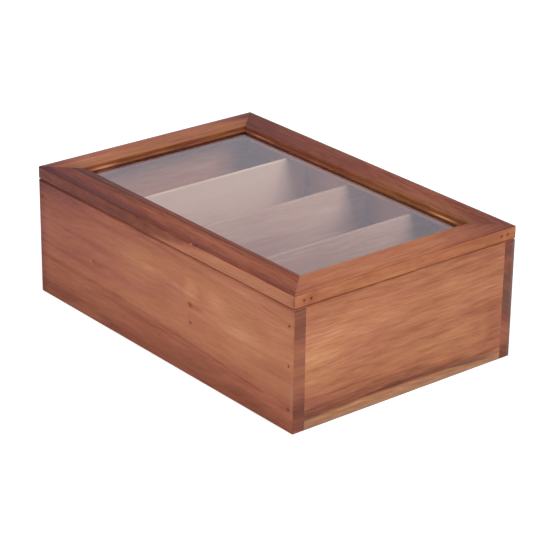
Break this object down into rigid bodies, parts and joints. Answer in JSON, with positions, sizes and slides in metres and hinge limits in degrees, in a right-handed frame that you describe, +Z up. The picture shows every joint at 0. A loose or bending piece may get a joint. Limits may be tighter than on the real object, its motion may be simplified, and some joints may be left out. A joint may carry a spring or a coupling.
{
  "type": "tea bag organizer box",
  "caption": "Wooden box with cross dividers for rows of tea bags, and a hinged lid whose mitred frame holds a clear window.",
  "frame": {"origin": "centre of the base of the closed box's bounding box, at table height; the hinge barrels stand 1.35 mm out of the back, so the box's own middle lies 0.67 mm in front of it", "axes": "+X along the long side towards the right end, +Y from the front to the hinged back, +Z up"},
  "size_m": [0.3, 0.2024, 0.101],
  "materials": {
    "long_panel_wood": "satin oiled red-brown wood, grain along the panel",
    "end_panel_wood": "satin oiled orange-brown wood, grain along the panel",
    "lid_wood": "satin oiled red-brown wood, grain along each rail",
    "divider_board": "bare pale plywood",
    "base_board": "bare pale plywood",
    "clear_pane": "clear polished sheet",
    "hinge_brass": "satin brass",
    "nail_steel": "dull dark steel"
  },
  "bodies": {
    "box_body": {"front_panel": "long_panel_wood", "back_panel": "long_panel_wood", "left_panel": "end_panel_wood", "right_panel": "end_panel_wood", "base_panel": "base_board", "left_divider": "divider_board", "middle_divider": "divider_board", "right_divider": "divider_board", "front_nails": "nail_steel", "back_nails": "nail_steel", "left_hinge_body_leaf": "hinge_brass", "left_hinge_pin": "hinge_brass", "left_hinge_body_screws": "hinge_brass", "right_hinge_body_leaf": "hinge_brass", "right_hinge_pin": "hinge_brass", "right_hinge_body_screws": "hinge_brass"},
    "lid": {"lid_front_rail": "lid_wood", "lid_back_rail": "lid_wood", "lid_left_rail": "lid_wood", "lid_right_rail": "lid_wood", "lid_window": "clear_pane", "lid_left_nails": "nail_steel", "lid_right_nails": "nail_steel", "left_hinge_lid_leaf": "hinge_brass", "left_hinge_lid_screws": "hinge_brass", "right_hinge_lid_leaf": "hinge_brass", "right_hinge_lid_screws": "hinge_brass"}
  },
  "joints": [
    {"name": "lid_hinge", "type": "hinge", "parent": "box_body", "child": "lid", "pos_m": [0, 0.09922, 0.0912], "axis": [-1, 0, 0], "range_deg": [0, 100]}
  ]
}
